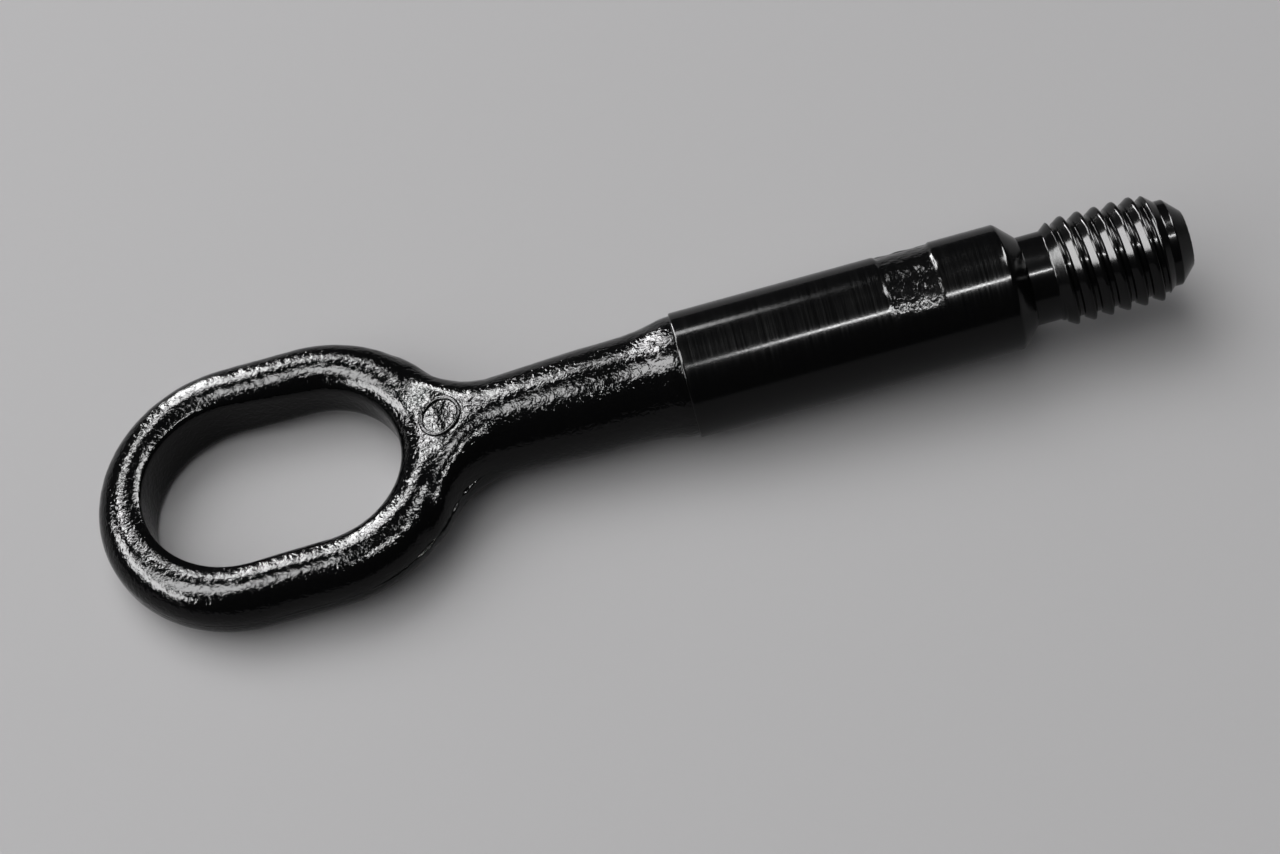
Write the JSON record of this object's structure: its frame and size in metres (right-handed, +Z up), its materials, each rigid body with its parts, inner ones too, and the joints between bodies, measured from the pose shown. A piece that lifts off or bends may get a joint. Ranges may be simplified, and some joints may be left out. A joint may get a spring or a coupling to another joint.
{
  "type": "screw-in towing eye",
  "caption": "Forged steel towing eye with an oblong ring, a round neck, a turned shank and a coarse screw thread at its end, painted gloss black.",
  "frame": {"origin": "middle of the bounding box on the ground that the part lies on", "axes": "+X towards the threaded tip along the ground, +Z up. The axis of the shank rises 2.91 degrees towards the tip, because the part rests on the end of its ring and on the near edge of its shank"},
  "size_m": [0.1926, 0.0514, 0.0249],
  "materials": {
    "black_paint": "gloss"
  },
  "bodies": {
    "root": {"tow_eye": "black_paint"}
  },
  "joints": []
}
